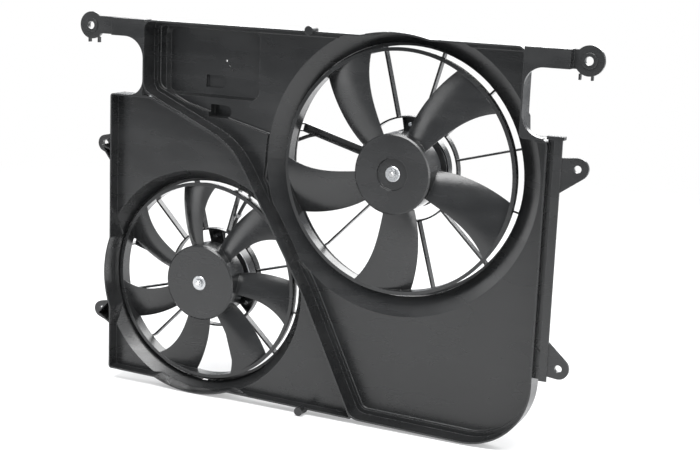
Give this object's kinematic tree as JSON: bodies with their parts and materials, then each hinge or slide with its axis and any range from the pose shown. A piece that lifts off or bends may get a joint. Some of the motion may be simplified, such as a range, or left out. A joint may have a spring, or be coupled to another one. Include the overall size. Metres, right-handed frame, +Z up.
{
  "type": "radiator cooling fan",
  "caption": "Twin electric radiator cooling fan: moulded shroud with a large and a small banded fan, motors on strut rings and two plug leads.",
  "frame": {"origin": "midway between the bolt holes of the two upper arms, halfway through the thickness of the arms", "axes": "+X to the right seen from the motor side, along the long side; +Y forwards to the radiator, along the fan axes; +Z up as installed"},
  "size_m": [0.8812, 0.124, 0.6129],
  "materials": {
    "black_rubber": "matte",
    "black_steel": "satin",
    "blank_label": "satin",
    "bright_zinc_screw": "bright",
    "carbon": "matte",
    "commutator_copper": "satin",
    "connector_grey": "satin",
    "cover_plastic": "satin",
    "enamelled_copper": "gloss",
    "fan_plastic": "semi-gloss",
    "ferrite": "matte",
    "ground_steel": "ground",
    "holder_plastic": "matte",
    "lamination_steel": "satin",
    "lead_jacket": "satin",
    "nut_steel": "satin",
    "retainer_plastic": "satin",
    "shroud_plastic": "satin",
    "sintered_bronze": "matte",
    "sleeve_tape": "matte",
    "spring_steel": "satin",
    "tie_plastic": "satin",
    "tinned_brass": "satin",
    "zinc_plated_steel": "satin"
  },
  "bodies": {
    "shroud": {"shroud_panel": "shroud_plastic", "large_strut_frame": "shroud_plastic", "small_strut_frame": "shroud_plastic", "large_motor_case": "black_steel", "large_motor_end_plate": "zinc_plated_steel", "large_front_bush": "sintered_bronze", "large_rear_bush": "sintered_bronze", "large_motor_magnets": "ferrite", "large_brush_holder": "holder_plastic", "large_brushes": "carbon", "large_brush_springs": "spring_steel", "large_motor_cover": "cover_plastic", "large_motor_end_cap": "zinc_plated_steel", "large_lead_grommet": "black_rubber", "large_motor_label": "blank_label", "large_motor_screws": "bright_zinc_screw", "large_motor_lead": "lead_jacket", "large_lead_clip": "tie_plastic", "small_motor_case": "black_steel", "small_motor_end_plate": "zinc_plated_steel", "small_front_bush": "sintered_bronze", "small_rear_bush": "sintered_bronze", "small_motor_magnets": "ferrite", "small_brush_holder": "holder_plastic", "small_brushes": "carbon", "small_brush_springs": "spring_steel", "small_motor_cover": "cover_plastic", "small_motor_end_cap": "zinc_plated_steel", "small_lead_grommet": "black_rubber", "small_motor_label": "blank_label", "small_motor_screws": "bright_zinc_screw", "small_motor_lead": "lead_jacket", "small_lead_clip": "tie_plastic", "upper_connector_housing": "connector_grey", "upper_connector_seal": "black_rubber", "upper_connector_retainer": "retainer_plastic", "upper_connector_terminals": "tinned_brass", "lower_connector_housing": "connector_grey", "lower_connector_seal": "black_rubber", "lower_connector_retainer": "retainer_plastic", "lower_connector_terminals": "tinned_brass", "lead_sleeve": "sleeve_tape", "part_label": "blank_label", "date_label": "blank_label"},
    "large_rotor": {"large_fan": "fan_plastic", "large_fan_nut": "nut_steel", "large_motor_shaft": "ground_steel", "large_armature_core": "lamination_steel", "large_armature_windings": "enamelled_copper", "large_commutator": "commutator_copper"},
    "small_rotor": {"small_fan": "fan_plastic", "small_fan_nut": "nut_steel", "small_motor_shaft": "ground_steel", "small_armature_core": "lamination_steel", "small_armature_windings": "enamelled_copper", "small_commutator": "commutator_copper"}
  },
  "joints": [
    {"name": "large_fan_spin", "type": "hinge", "parent": "shroud", "child": "large_rotor", "pos_m": [-0.1267, -0.041, -0.1912], "axis": [0, -1, 0], "continuous": true},
    {"name": "small_fan_spin", "type": "hinge", "parent": "shroud", "child": "small_rotor", "pos_m": [0.2069, -0.041, -0.4059], "axis": [0, -1, 0], "continuous": true}
  ]
}
